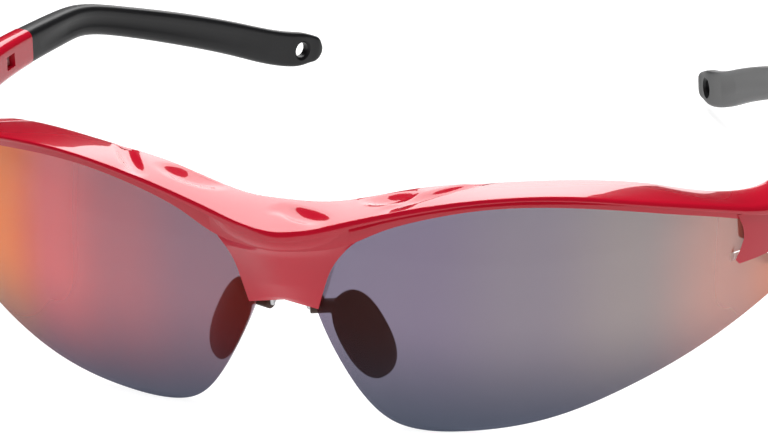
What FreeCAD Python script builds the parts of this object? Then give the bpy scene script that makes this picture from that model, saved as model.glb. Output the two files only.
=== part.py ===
"""Wraparound sport sunglasses: a half-rim front, two spherical lenses, folding arms, rubber ends and pads.

Millimetres. +X is the wearer's left, +Y runs back to the ears, +Z is up. The glasses stand open on the lower
edges of the lenses and on the rubber ends, and the origin is the bottom centre of the whole object's box.
The front is drawn in half, as distances in front of the lens sphere at places along the brow.
"""
import FreeCAD, Part
import math
import os

Vector = FreeCAD.Vector

# Overall sizes
FRONT_WIDTH = 142.0        # across the end pieces of the front
FRONT_HEIGHT = 40.0        # lowest point of a lens to the top of the brow
ARM_REACH = 95.0           # hinge pin to the rear end of the rubber, measured along Y
ARM_DROP = 26.0            # how far the rear end lies below the hinge

# Lenses: one sphere each, which also shapes the brow
WRAP = 0.42                # lens radius as a share of the width: how far the front wraps round the face
DECENTRE = 0.1177          # sphere centre off the middle, as a share of the width
LENS_THICKNESS = 1.8
GROOVE_DEPTH = 1.2         # how far a lens goes into the frame
LENS_CLEARANCE = 0.12
NOTCH_WIDTH = 1.9          # slot in the lens that the nub of the end piece snaps into
NOTCH_HEIGHT = 1.3
NUB_LENGTH = 1.1

# Front
LIP = 0.8                  # wall in front of the lens
BACK_WALL = 1.9            # wall behind the lens
BACK_DROP = 0.9            # fall from the ridge of the brow to the top of its back
BACK_DEPTH = 4.5           # least depth of the brow at its foot
CROWN_SHARE = 0.55         # height of the crowned top at mid depth, as a share of the rise to the ridge
CROWN_RISE = 0.25          # and how far it stands above that
CORNER_RADIUS = 20.0       # plan radius that turns the front back towards the arms
CORNER_ANGLE = 58.0        # where that turn starts, in degrees round the lens sphere
BRIDGE_ARCH = 1.2
BRIDGE_BACK = 2.6          # bridge behind the lens
BRIDGE_HALF = 5.3          # half width of the bridge at its foot

# Hinge
KNUCKLE_RADIUS = 2.1
KNUCKLE_HEIGHT = 2.4       # the arm's knuckle, between the two lugs of the front
LUG_HEIGHT = 2.0
KNUCKLE_GAP = 0.1          # above and below the arm's knuckle
SWING_GAP = 0.35           # clear of the knuckles, for the arm to fold
PIN_RADIUS = 0.7
PIN_CLEARANCE = 0.05
HEAD_RADIUS = 1.25
HEAD_HEIGHT = 0.7
HEAD_SLOT = 0.35
INSERT_WALL = 0.45
INSERT_LENGTH = 1.7

# Arms and their rubber ends
ARM_SKIN = 1.2             # outer wall of the arm that covers the hinge
ARM_JOIN = 21.5            # hinge pin to the joint between arm and rubber, along Y
SPIGOT_LENGTH = 2.0
RUBBER_STEP = 0.1          # how far the rubber stands in from the arm all round
TANG_LENGTH = 10.0
CORE_WIDTH = 1.3
CORE_HEIGHT = 3.0
CORE_SHORT = 12.0          # how far the core stops before the rear end
SPIGOT_WALL = 1.1, 0.8     # wall of the arm round the spigot: above and below, and at the sides
SOCKET_CLEARANCE = 0.08
WINDOW_LENGTH = 2.6
WINDOW_HEIGHT = 2.4
WINDOW_OFFSET = 7.0        # joint to the middle of the window
BARB = 0.5                 # step on the tang that catches in the window
CORD_HOLE_RADIUS = 1.5
CORD_HOLE_OFFSET = 4.6     # rear end to the middle of the hole
CORD_HOLE_FLARE = 0.5      # cone at each mouth of the hole, at 45 degrees

# Nose pads
PAD_LENGTH = 15.0
PAD_WIDTH = 7.8
PAD_THICKNESS = 2.4
PAD_SPLAY = 25.0           # degrees that the lower end stands out sideways
PAD_LEAN = 6.0             # degrees that the lower end stands back
PAD_TURN = 48.0            # degrees that the broad side is turned from facing sideways to facing back
PAD_CENTRE = Vector(10.45, 6.2, 13.6)
PAD_HELD_FROM, PAD_HELD_TO = 0.36, -0.14       # where the wire lies in the pad, as shares of its length
STALK_RADIUS = 1.1
WIRE_RADIUS = 0.5
WIRE_X, WIRE_Y = 2.9, 3.7
WIRE_DEPTH = 3.2           # length of the wire inside the bridge
WIRE_SWAY = 0.5            # room round the wire in the bridge, for the pad to be set in or out

DRAWN_WIDTH, DRAWN_HEIGHT = 142.0, 40.0
DRAWN_REACH, DRAWN_DROP = 95.0, 26.0
ACROSS = FRONT_WIDTH / DRAWN_WIDTH      # the outlines are drawn at the sizes above and stretch with them
UP = FRONT_HEIGHT / DRAWN_HEIGHT
ALONG = ARM_REACH / DRAWN_REACH
DOWN = ARM_DROP / DRAWN_DROP

LENS_RADIUS = WRAP * FRONT_WIDTH
CENTRE = Vector(DECENTRE * FRONT_WIDTH, LENS_RADIUS, 20.3 * UP)

# The brow's shape by distance along it from the middle: "out" is in front of the lens sphere, "z" the height
STATIONS = (0, 5, 10, 15, 20, 30, 41, 52, 58, 66, 76, 87)
EDGE_Z = (32.5, 32.8, 34.1, 35.6, 36.9, 38.7, 38.7, 36.8, 35.3, 33.0, 30.0, 28.8)
EDGE_OUT = (8.3, 5.9, 4.0, 3.0, 2.5, 2.3, 2.2, 2.0, 1.85, 1.7, 1.5, 1.5)
BAND = (1.5, 1.4, 1.2, 1.0, 0.9, 0.7, 0.7, 0.8, 0.95, 1.1, 1.4, 1.8)
RIDGE_Z = (35.5, 35.6, 35.9, 36.8, 37.8, 38.4, 38.3, 37.2, 36.0, 33.8, 32.4, 33.4)
RIDGE_OUT = (0.5, -0.8, -3.0, -4.4, -5.0, -6.0, -6.5, -6.6, -6.5, -6.0, -3.9, -2.4)
LIP_Z = (30.6, 30.6, 31.4, 33.6, 35.3, 37.3, 37.3, 35.6, 34.2, 32.0, 28.8, 27.5)
LIP_EXTRA = (6.2, 3.9, 2.0, 0.8, 0.2, 0, 0, 0, 0, 0, 0, 0)
BACK_STEP = (1.9, 1.8, 1.2, 1.0, 0.9, 0.9, 0.9, 0.9, 0.9, 0.9, 1.1, 1.4)   # ridge to the top of the back

# The rim of a lens that shows, from the foot of the bridge round the top to the hook: across, height
RIM = ((5.3, 20.0), (6.2, 23.4), (7.5, 27.0), (10, 30.2), (15, 33.1), (20, 35.0), (25, 36.3), (30, 37.0),
       (35, 37.2), (40, 37.0), (45, 36.3), (50, 35.3), (55, 33.7), (60, 31.7), (63.4, 29.9))
# The free lower edge, from the tail back to the foot of the bridge
LOWER_EDGE = ((70.0, 18.9), (66.9, 17.0), (63, 14.6), (56, 10.7), (47.5, 6.6), (42, 4.2), (34.7, 1.9),
              (26, 0.4), (20, 0.1), (15.6, 1.2), (11.8, 4.9), (8.6, 10.4), (6.0, 16.0), (4.6, 19.6))
TAIL_ROOT = (64.7, 23.9)
# The finger that reaches over the lens; its fourth point is where the nub sits
HOOK = ((64.4, 31.2), (63.5, 28.9), (62.9, 26.6), (62.7, 25.3), (63.2, 24.5), (65.5, 24.5), (67.6, 24.6),
        (67.6, 31.0))
END_LOW = ((72.8, 24.6), (76, 24.9), (80, 25.4), (87, 26.2))

# The middle line of the left arm, and its height and thickness: x, y behind the pin, z, height, thickness
ARM_LINE = ((68.3, -2.4, 29.8, 7.6, 5.2), (68.7, 5.0, 29.8, 7.2, 4.8), (67.9, 14.0, 30.0, 6.7, 4.4),
            (66.3, 24.0, 29.7, 6.2, 4.1), (64.9, 33.0, 29.0, 5.9, 3.9), (63.8, 39.0, 28.2, 5.6, 3.7),
            (60.4, 49.0, 24.7, 5.5, 3.5), (54.6, 62.2, 18.8, 6.0, 3.5), (47.5, 77.0, 11.4, 6.7, 3.3),
            (41.5, 88.0, 5.7, 7.4, 2.6), (39.9, 90.7, 4.7, 7.2, 2.4), (38.6, 93.0, 4.0, 5.9, 2.2),
            (37.7, 94.5, 3.6, 3.7, 1.9), (37.4, 95.0, 3.5, 1.8, 1.5))
HINGE_X = 67.4

# The bridge above its foot: height, half width, and how far forward its middle stands
BRIDGE_LEVELS = ((23.5, 6.3, -1.0), (27.0, 7.6, -2.1), (30.2, 10.0, -3.1), (32.2, 12.3, -3.8))


def spline(knots, values, at, start=None):
    """Value at a place on the smooth curve through the points, with a start slope or a free start."""
    last = len(knots) - 1
    step = [knots[i + 1] - knots[i] for i in range(last)]
    slope = [(values[i + 1] - values[i]) / step[i] for i in range(last)]
    if start is None:
        diagonal, above, right = [1.0], [0.0], [0.0]
    else:
        diagonal, above, right = [2 * step[0]], [step[0]], [6 * (slope[0] - start)]
    for i in range(1, last):
        share = step[i - 1] / diagonal[-1]
        diagonal.append(2 * (step[i - 1] + step[i]) - share * above[-1])
        right.append(6 * (slope[i] - slope[i - 1]) - share * right[-1])
        above.append(step[i])
    bend = [0.0] * (last + 1)
    for i in range(last - 1, -1, -1):
        bend[i] = (right[i] - above[i] * bend[i + 1]) / diagonal[i]
    i = max(k for k in range(last) if k == 0 or knots[k] <= at)
    b = (at - knots[i]) / step[i]
    a = 1 - b
    curl = ((a ** 3 - a) * bend[i] + (b ** 3 - b) * bend[i + 1]) * step[i] ** 2 / 6
    return a * values[i] + b * values[i + 1] + curl


def sphere_reach(z):
    """Plan radius of the lens sphere at a height."""
    return math.sqrt(LENS_RADIUS ** 2 - (z - CENTRE.z) ** 2)


BROW_REACH = sphere_reach(33.0 * UP)
MIDDLE_ANGLE = -math.asin(CENTRE.x / BROW_REACH)
CORNER = math.radians(CORNER_ANGLE)
FRONT_RUN = BROW_REACH * (CORNER - MIDDLE_ANGLE)


def brow_base(s):
    """Plan place on the lens circle at a distance along the brow, and the direction that faces out there."""
    if s <= FRONT_RUN:
        angle = MIDDLE_ANGLE + s / BROW_REACH
        x = CENTRE.x + BROW_REACH * math.sin(angle)
        y = CENTRE.y - BROW_REACH * math.cos(angle)
    else:
        angle = CORNER + (s - FRONT_RUN) / CORNER_RADIUS
        x = CENTRE.x + (BROW_REACH - CORNER_RADIUS) * math.sin(CORNER) + CORNER_RADIUS * math.sin(angle)
        y = CENTRE.y - (BROW_REACH - CORNER_RADIUS) * math.cos(CORNER) - CORNER_RADIUS * math.cos(angle)
    turn_in = 22.0 * ACROSS
    if s < turn_in:
        angle = (MIDDLE_ANGLE + turn_in / BROW_REACH) * s / turn_in
    return Vector(x, y, 0), Vector(math.sin(angle), -math.cos(angle), 0)


def brow_point(s, out, z):
    base, facing = brow_base(abs(s))
    point = base + facing * (out + sphere_reach(z) - BROW_REACH) + Vector(0, 0, z)
    return Vector(math.copysign(point.x, s) if s else 0.0, point.y, point.z)


def lens_y(x, z, out=0.0):
    """How far back the lens front, or a sphere that far in front of it, lies at a place across and up."""
    return CENTRE.y - math.sqrt((LENS_RADIUS + out) ** 2 - (x - CENTRE.x) ** 2 - (z - CENTRE.z) ** 2)


def stretched(points):
    return [(x * ACROSS, z * UP) for x, z in points]


HINGE_Y = brow_base(FRONT_RUN + CORNER_RADIUS * (math.pi / 2 - CORNER))[0].y + KNUCKLE_RADIUS
HINGE_Z = ARM_LINE[0][2] * UP
END_FACE_Y = HINGE_Y - KNUCKLE_RADIUS - SWING_GAP


def prism(outline, near=-30.0, far=CENTRE.y):
    """A solid whose outline across and up is a list of edges, swept along Y."""
    face = Part.Face(Part.Wire(Part.__sortEdges__(outline)))
    solid = face.extrude(Vector(0, far - near, 0))
    solid.translate(Vector(0, near, 0))
    return solid


def flat(points):
    return [Vector(x, 0, z) for x, z in points]


def curve(points):
    spline_curve = Part.BSplineCurve()
    spline_curve.interpolate(points)
    return spline_curve.toShape()


def lines(points):
    return [Part.makeLine(a, b) for a, b in zip(points, points[1:])]


def loft(sections):
    return Part.makeLoft([Part.makePolygon(list(s) + [s[0]]) for s in sections], True, False)


def shell(out, inside):
    """The skin between two spheres about the lens centre, measured from the lens front."""
    return Part.makeSphere(LENS_RADIUS + out, CENTRE).cut(Part.makeSphere(LENS_RADIUS - inside, CENTRE))


def mirrored(shape):
    return shape.mirror(Vector(0, 0, 0), Vector(1, 0, 0))


def rod(start, end, radius):
    return Part.makeCylinder(radius, (end - start).Length, start, end - start)


def box(low, high):
    return Part.makeBox(high[0] - low[0], high[1] - low[1], high[2] - low[2], Vector(*low))


def moved_out(points, distance):
    """Points moved square to the line through them, away from the middle of the lens."""
    result = []
    for i, (x, z) in enumerate(points):
        before, after = points[max(i - 1, 0)], points[min(i + 1, len(points) - 1)]
        run, rise = after[0] - before[0], after[1] - before[1]
        length = math.hypot(run, rise)
        result.append((x - rise / length * distance, z + run / length * distance))
    return result


def lens_outline(grow):
    """The left lens, larger all round by grow where the frame holds it."""
    held = moved_out(stretched(RIM), GROOVE_DEPTH + grow)
    free = stretched(LOWER_EDGE)
    root_x, root_z = stretched([TAIL_ROOT])[0]
    top = curve(flat(held))
    edge = curve(flat(free))
    side = lines(flat([held[-1], (root_x + grow, held[-1][1] - 1.0), (root_x + grow, root_z), free[0]]))
    return [top, edge] + side + lines(flat([free[-1], held[0]]))


def notch(shrink):
    """The slot at the tip of the hook, or the nub in it."""
    x, z = stretched([HOOK[3]])[0]
    low = (x - NOTCH_WIDTH + NUB_LENGTH + shrink * 8, -30, z - NOTCH_HEIGHT / 2 + shrink)
    return low, (x + NUB_LENGTH - shrink, CENTRE.y, z + NOTCH_HEIGHT / 2 - shrink)


def left_lens(grow=0.0):
    blank = shell(grow, LENS_THICKNESS + grow).common(prism(lens_outline(grow)))
    return blank if grow else blank.cut(box(*notch(0.0)))


def brow_section(s):
    """The brow cut across: front band, crowned top, back, then the rim that covers the lens."""
    at = abs(s) / ACROSS
    crossing = math.sin(MIDDLE_ANGLE) * ACROSS     # slope that lets both halves of the brow meet smoothly

    def height(values):
        return spline(STATIONS, values, at, 0.0) * UP

    def out(values):
        return spline(STATIONS, values, at, crossing)

    edge_out, edge_z = out(EDGE_OUT), height(EDGE_Z)
    ridge_out, ridge_z = out(RIDGE_OUT), height(RIDGE_Z)
    lip_out, lip_z = LIP + max(spline(STATIONS, LIP_EXTRA, at, crossing), 0.0), height(LIP_Z)
    crease_z = edge_z + spline(STATIONS, BAND, at, 0.0)
    crown_z = crease_z + CROWN_SHARE * (ridge_z - crease_z) + CROWN_RISE
    back_out = ridge_out - spline(STATIONS, BACK_STEP, at, 0.0)
    foot_out = -LENS_THICKNESS - BACK_WALL
    points = ((edge_out, edge_z), (edge_out + 0.1, crease_z), ((edge_out + ridge_out) / 2, crown_z),
              (ridge_out, ridge_z), (back_out, ridge_z - BACK_DROP),
              (min(foot_out, lip_out - BACK_DEPTH), lip_z - 0.3),
              (lip_out, lip_z), (lip_out + 0.1, edge_z - 0.1))
    return [brow_point(s, reach, z) for reach, z in points]


def brow():
    reach = FRONT_RUN + CORNER_RADIUS * (math.pi / 2 - CORNER)
    half = [5, 10, 15, 20, 25, 30, 35, 41, 47, 52, 58, 64, 70, 76]
    stations = [s * ACROSS for s in half] + [(76 * ACROSS + reach) / 2, reach]
    right = [brow_section(-s) for s in reversed(stations)]
    return loft(right + [brow_section(0)] + [brow_section(s) for s in stations])


def bridge():
    """The plate between the lenses, cut flat at each height and arched at its foot."""
    wires = []
    for z, half, middle in ((20.0, BRIDGE_HALF, 0.2),) + BRIDGE_LEVELS:
        half, z = half * ACROSS, z * UP
        side = lens_y(half, z) - LIP
        between = 0.35 * side + 0.65 * middle
        front = [Vector(-half, side, z), Vector(-half / 2, between, z), Vector(0, middle, z),
                 Vector(half / 2, between, z), Vector(half, side, z)]
        back = side + LIP + LENS_THICKNESS + BRIDGE_BACK
        rear = [Vector(half, side, z), Vector(half - 0.2, back, z),
                Vector(0.2 - half, back, z), Vector(-half, side, z)]
        wires.append(Part.Wire([curve(front)] + lines(rear)))
    plate = Part.makeLoft(wires, True, False)
    foot = BRIDGE_HALF * ACROSS
    radius = (foot ** 2 + BRIDGE_ARCH ** 2) / (2 * BRIDGE_ARCH)
    arch = Part.makeCylinder(radius, 40, Vector(0, -20, 20.0 * UP + BRIDGE_ARCH - radius), Vector(0, 1, 0))
    return plate.cut(arch)


def end_piece():
    """The deep block outside the lens, from the hook back to the hinge."""
    sections = []
    reach = FRONT_RUN + CORNER_RADIUS * (math.pi / 2 - CORNER)
    knots, lows = [s for s, z in END_LOW], [z for s, z in END_LOW]
    for s in (72.8, 74.5, 76.5, 79, 82, 85, 87):
        at = min(s * ACROSS, reach) if s < 87 else reach
        low, high = spline(knots, lows, s) * UP, (spline(STATIONS, EDGE_Z, s) + 0.3) * UP
        back = spline(STATIONS, RIDGE_OUT, s) - spline(STATIONS, BACK_STEP, s)
        sections.append([brow_point(at, LIP, low + 0.3), brow_point(at, LIP + 0.1, high),
                         brow_point(at, back, high), brow_point(at, back, low)])
    return loft(sections)


def hook():
    """The finger of the end piece that reaches over the lens, with the nub that snaps into the lens."""
    finger = shell(LIP + 0.2, 0.0).common(prism(lines(flat(stretched(HOOK + HOOK[:1])))))
    nub = shell(LIP, LENS_THICKNESS).common(box(*notch(LENS_CLEARANCE)))
    return finger, nub


def knuckle(low, high, pin):
    """A hinge knuckle about the pin, without the block that carries it."""
    base = Vector(HINGE_X * ACROSS, HINGE_Y, low)
    return Part.makeCylinder(KNUCKLE_RADIUS, high - low, base), Part.makeCylinder(pin, high - low, base)


def lug_heights():
    """The four heights where the front's lugs start and stop, from the foot up."""
    half = KNUCKLE_HEIGHT / 2 + KNUCKLE_GAP
    return HINGE_Z - half - LUG_HEIGHT, HINGE_Z - half, HINGE_Z + half, HINGE_Z + half + LUG_HEIGHT


def hinge_lugs():
    """The two lugs, and all that is bored out of them for the screw and its insert."""
    foot, floor, roof, top = lug_heights()
    x = HINGE_X * ACROSS
    solids, bores = [], []
    for low, high in ((foot, floor), (roof, top)):
        round_part, bore = knuckle(low, high, PIN_RADIUS + PIN_CLEARANCE)
        root = box((x - KNUCKLE_RADIUS, END_FACE_Y - 0.5, low), (x + KNUCKLE_RADIUS, HINGE_Y, high))
        solids += [round_part, root]
        bores.append(bore)
    bores.append(Part.makeCylinder(PIN_RADIUS + INSERT_WALL, INSERT_LENGTH, Vector(x, HINGE_Y, foot)))
    head = Vector(x, HINGE_Y, top - HEAD_HEIGHT)
    bores.append(Part.makeCylinder(HEAD_RADIUS + PIN_CLEARANCE, HEAD_HEIGHT, head))
    return solids, bores


def wire_path():
    top = Vector(WIRE_X, WIRE_Y, 20.6 * UP + WIRE_DEPTH)
    mouth = Vector(WIRE_X, WIRE_Y, 18.5 * UP)
    return [top, mouth, pad_place(Vector(0, 0, PAD_LENGTH * PAD_HELD_FROM)),
            pad_place(Vector(0, 0, PAD_LENGTH * PAD_HELD_TO))]


def pad_frame():
    """Width, thickness and length directions of the left pad."""
    splay, lean, turn = math.radians(PAD_SPLAY), math.radians(PAD_LEAN), math.radians(PAD_TURN)
    length = Vector(-math.sin(splay), -math.sin(lean), math.cos(splay))
    length.normalize()
    width = Vector(math.sin(turn), math.cos(turn), 0)
    thickness = length.cross(width)
    thickness.normalize()
    return length.cross(thickness) * -1, thickness, length


def pad_place(local):
    width, thickness, length = pad_frame()
    return PAD_CENTRE + width * local.x + thickness * local.y + length * local.z


def chain(points, radius):
    """Straight rods with a ball at each turn."""
    solid = rod(points[0], points[1], radius)
    for start, end in zip(points[1:], points[2:]):
        solid = solid.fuse([Part.makeSphere(radius, start), rod(start, end, radius)])
    return solid.fuse(Part.makeSphere(radius, points[-1])).removeSplitter()


def nose_pad():
    width, thickness, length = pad_frame()
    ball = Part.makeSphere(1.0)
    matrix = FreeCAD.Matrix()
    sizes = (width, PAD_WIDTH), (thickness, PAD_THICKNESS), (length, PAD_LENGTH)
    for column, (axis, size) in enumerate(sizes):
        for row, part in enumerate((axis.x, axis.y, axis.z)):
            setattr(matrix, f"A{row + 1}{column + 1}", part * size / 2)
    for row, part in enumerate((PAD_CENTRE.x, PAD_CENTRE.y, PAD_CENTRE.z)):
        setattr(matrix, f"A{row + 1}4", part)
    pad = ball.transformGeometry(matrix)
    path = wire_path()
    stalk = chain([path[1] + Vector(0, 0, -0.2), path[2]], STALK_RADIUS)
    return pad.fuse(stalk).cut(chain(path, WIRE_RADIUS + 0.02))


def nose_wire():
    return chain(wire_path(), WIRE_RADIUS)


def front():
    lugs, bores = hinge_lugs()
    finger, nub = hook()
    pocket = left_lens(LENS_CLEARANCE)
    wire_top, wire_mouth = wire_path()[:2]
    sway = rod(wire_top + Vector(0, 0, WIRE_SWAY), wire_mouth - Vector(0, 0, 2), WIRE_RADIUS + WIRE_SWAY)
    adds = [end_piece(), finger] + lugs
    takes = [pocket, sway] + bores
    behind = box((HINGE_X * ACROSS - 20, END_FACE_Y, -10), (FRONT_WIDTH, HINGE_Y + 30, 80))
    solid = brow().fuse([bridge(), adds[0], mirrored(adds[0])])
    solid = solid.cut([behind, mirrored(behind)])
    solid = solid.fuse(adds[1:] + [mirrored(a) for a in adds[1:]])
    solid = solid.cut(takes + [mirrored(t) for t in takes])
    return solid.fuse([nub, mirrored(nub)])


def arm_points():
    return [(x * ACROSS, HINGE_Y + y * ALONG, HINGE_Z + (z - ARM_LINE[0][2]) * DOWN, height, thick)
            for x, y, z, height, thick in ARM_LINE]


def arm_at(back):
    """Middle point of the arm and its height and thickness, at a distance behind the pin."""
    rows = arm_points()
    knots = [row[1] for row in rows]
    y = HINGE_Y + back
    x, z, height, thick = (spline(knots, [row[i] for row in rows], y) for i in (0, 2, 3, 4))
    return Vector(x, y, z), height, thick


def arm_frame(back):
    """Middle point, sideways direction and upward direction across the arm."""
    here = arm_at(back)[0]
    along = arm_at(back + 0.2)[0] - arm_at(back - 0.2)[0]
    along.normalize()
    side = along.cross(Vector(0, 0, 1))
    side.normalize()
    return here, side, side.cross(along), along


def arm_section(back, height, thick, round_by=0.35):
    """A rounded oblong across the arm: straight flanks, and crowned top and bottom."""
    here, side, up, along = arm_frame(back)
    corner = round_by * thick
    points = []
    for sx, sz in ((1, 1), (-1, 1), (-1, -1), (1, -1)):
        centre = here + side * (sx * (thick / 2 - corner)) + up * (sz * (height / 2 - corner))
        first, last = (side * sx, up * sz) if sx * sz > 0 else (up * sz, side * sx)
        for k in range(4):
            angle = math.pi / 6 * k
            points.append(centre + (first * math.cos(angle) + last * math.sin(angle)) * corner)
    return points


def arm_loft(backs, grow=0.0, size=None):
    sections = []
    for back in backs:
        middle, height, thick = arm_at(back)
        height, thick = size if size else (height, thick)
        sections.append(arm_section(back, height + 2 * grow, thick + 2 * grow))
    return loft(sections)


def steps(start, stop, count):
    return [start + (stop - start) * i / (count - 1) for i in range(count)]


JOIN = ARM_JOIN * ALONG
CORE_SIZE = (CORE_HEIGHT, CORE_WIDTH)
CORE_END = ARM_REACH - CORE_SHORT
CORE_BACKS = steps(JOIN - TANG_LENGTH, JOIN, 4) + steps(JOIN, CORE_END, 9)[1:]


def arm():
    x = HINGE_X * ACROSS
    front_end = END_FACE_Y - HINGE_Y + 0.15
    body = arm_loft(steps(front_end - 1.0, JOIN, 9))
    swing = KNUCKLE_RADIUS + SWING_GAP
    outer = arm_at(0)[0].x + arm_at(0)[2] / 2 - ARM_SKIN
    relief = box((x - 20, HINGE_Y - 20, -10), (outer, HINGE_Y + swing, 80))
    ahead = box((x - 20, HINGE_Y - 20, -10), (x + 20, HINGE_Y + front_end, 80))
    low, high = HINGE_Z - KNUCKLE_HEIGHT / 2, HINGE_Z + KNUCKLE_HEIGHT / 2
    round_part, bore = knuckle(low, high, PIN_RADIUS + PIN_CLEARANCE)
    web = box((x - KNUCKLE_RADIUS + 0.4, HINGE_Y, low), (x + KNUCKLE_RADIUS, HINGE_Y + swing + 1.0, high))
    pocket = arm_loft(steps(JOIN - TANG_LENGTH - 0.5, JOIN + 0.5, 5), SOCKET_CLEARANCE, CORE_SIZE)
    mouth = arm_loft(steps(JOIN - SPIGOT_LENGTH - 0.1, JOIN + 0.5, 3), SOCKET_CLEARANCE, spigot_size())
    return body.cut([relief, ahead, window()]).fuse([round_part, web]).cut([bore, pocket, mouth])


def window():
    """The opening on the inner side that shows the tang, cut square through that wall."""
    here, side, up, along = arm_frame(JOIN - WINDOW_OFFSET)
    points = [here + along * (a * WINDOW_LENGTH / 2) + up * (b * WINDOW_HEIGHT / 2)
              for a, b in ((-1, -1), (1, -1), (1, 1), (-1, 1))]
    face = Part.Face(Part.makePolygon(points + points[:1]))
    return face.extrude(side * -6)


def spigot_size():
    height, thick = arm_at(JOIN)[1:]
    return height - 2 * SPIGOT_WALL[0], thick - 2 * SPIGOT_WALL[1]


def core():
    """The stiff core: a tang in the arm, a barb in its window, and a bar inside the rubber."""
    bar = arm_loft(CORE_BACKS, 0.0, CORE_SIZE)
    here, side, up, along = arm_frame(JOIN - WINDOW_OFFSET)
    half_length, half_height = WINDOW_LENGTH / 2 - 0.2, WINDOW_HEIGHT / 2 - 0.2
    points = [here + along * (a * half_length) + up * (b * half_height)
              for a, b in ((-1, -1), (1, -1), (1, 1), (-1, 1))]
    barb = Part.Face(Part.makePolygon(points + points[:1])).extrude(side * -(CORE_WIDTH / 2 + BARB))
    return bar.fuse(barb)


def rubber_end():
    rows = ARM_LINE[4:]
    backs = steps(JOIN + 0.02, rows[0][1] * ALONG, 3)[:-1] + steps(33.0 * ALONG, 88.0 * ALONG, 12)
    backs += [row[1] * ALONG for row in rows[-4:]]
    body = arm_loft(backs, -RUBBER_STEP)
    spigot = arm_loft(steps(JOIN - SPIGOT_LENGTH, JOIN + 1.0, 3), 0.0, spigot_size())
    cavity = arm_loft(CORE_BACKS, 0.02, CORE_SIZE)
    here, side, half = cord_hole()
    cuts = [cavity, Part.makeCylinder(CORD_HOLE_RADIUS, 20, here - side * 10, side)]
    for way in (side, side * -1):
        start = here + way * (half - CORD_HOLE_FLARE)
        wide = CORD_HOLE_RADIUS + 2 * CORD_HOLE_FLARE
        cuts.append(Part.makeCone(CORD_HOLE_RADIUS, wide, 2 * CORD_HOLE_FLARE, start, way))
    return body.fuse(spigot).cut(cuts)


def cord_hole():
    """Middle of the cord hole, its direction and half the rubber's thickness there."""
    back = ARM_REACH - CORD_HOLE_OFFSET
    here, side, up, along = arm_frame(back)
    return here, side, arm_at(back)[2] / 2 - RUBBER_STEP


def screw():
    foot, floor, roof, top = lug_heights()
    x = HINGE_X * ACROSS
    shank = Part.makeCylinder(PIN_RADIUS, top - HEAD_HEIGHT / 2 - foot, Vector(x, HINGE_Y, foot))
    head = Part.makeCylinder(HEAD_RADIUS, HEAD_HEIGHT, Vector(x, HINGE_Y, top - HEAD_HEIGHT))
    half = HEAD_SLOT / 2
    slot = box((x - 3, HINGE_Y - half, top - HEAD_SLOT), (x + 3, HINGE_Y + half, top + 1))
    return shank.fuse(head).cut(slot)


def insert():
    """The threaded sleeve in the lower lug that the screw bites into."""
    base = Vector(HINGE_X * ACROSS, HINGE_Y, lug_heights()[0])
    sleeve = Part.makeCylinder(PIN_RADIUS + INSERT_WALL - 0.01, INSERT_LENGTH, base)
    return sleeve.cut(Part.makeCylinder(PIN_RADIUS + 0.01, INSERT_LENGTH, base))


PAIRS = {"lens": left_lens, "nose_pad": nose_pad, "nose_wire": nose_wire, "hinge_screw": screw,
         "hinge_insert": insert, "temple": arm, "tip_core": core, "temple_tip": rubber_end}


def main():
    shapes = {"frame_front": front()}
    for name, make in PAIRS.items():
        left = make()
        shapes[name + "_left"], shapes[name + "_right"] = left, mirrored(left)
    whole = Part.makeCompound(list(shapes.values())).optimalBoundingBox(False)
    shift = Vector(0, -(whole.YMin + whole.YMax) / 2, -whole.ZMin)
    os.makedirs("parts", exist_ok=True)
    for name, shape in shapes.items():
        shape.translate(shift)
        shape.exportStep(f"parts/{name}.step")
        print(name, len(shape.Solids), shape.isValid(), round(shape.Volume, 1))
    hole, side, half = cord_hole()
    print("cord hole wall", round(2 * (half - CORD_HOLE_FLARE), 3))
    places = {"hinge": Vector(HINGE_X * ACROSS, HINGE_Y, HINGE_Z), "cord hole": hole,
              "wire mouth": wire_path()[1], "lens centre": CENTRE}
    for name, place in places.items():
        print(name, [round(c, 3) for c in place + shift])
    print("hole direction", [round(c, 4) for c in side], "size", [round(c, 2) for c in
          (whole.XLength, whole.YLength, whole.ZLength)], "shift", [round(c, 3) for c in shift])


main()
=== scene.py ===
# %% [markdown]
# # Wraparound sport sunglasses
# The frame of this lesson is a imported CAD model: every piece already has its place and size.
# Here the visible pieces are made again as smooth, dense surfaces, from tables like those that shape the CAD
# model, and they get their plastics, mirror coating and rubber. Sizes are in millimetres until a mesh is made.

# %% Load the frame
import math
import bpy
import bmesh
import numpy as np
from mathutils import Matrix, Vector


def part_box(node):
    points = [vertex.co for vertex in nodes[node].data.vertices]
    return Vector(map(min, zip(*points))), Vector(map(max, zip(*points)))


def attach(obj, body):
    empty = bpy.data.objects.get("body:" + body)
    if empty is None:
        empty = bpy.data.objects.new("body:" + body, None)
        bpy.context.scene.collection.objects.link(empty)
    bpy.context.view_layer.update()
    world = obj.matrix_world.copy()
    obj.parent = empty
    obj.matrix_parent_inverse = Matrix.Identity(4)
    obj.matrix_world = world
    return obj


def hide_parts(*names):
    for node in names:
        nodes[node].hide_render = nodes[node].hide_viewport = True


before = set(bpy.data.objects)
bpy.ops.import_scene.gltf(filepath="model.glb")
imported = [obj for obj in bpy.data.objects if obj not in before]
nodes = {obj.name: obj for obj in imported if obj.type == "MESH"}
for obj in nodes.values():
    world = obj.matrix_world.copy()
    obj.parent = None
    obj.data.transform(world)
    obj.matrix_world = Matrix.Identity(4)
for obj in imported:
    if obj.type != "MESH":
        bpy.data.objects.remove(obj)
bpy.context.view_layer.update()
MM = 0.001
SIDES = {"left": 1, "right": -1}
print("pieces in the frame:", len(nodes))

# %% [markdown]
# ## Helpers
# One function turns points and faces into an object that sits at the origin, with its place in its mesh. Another
# runs a grid of points into a closed skin. Booleans join or cut closed skins, as a toolmaker cuts a mould.

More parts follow.
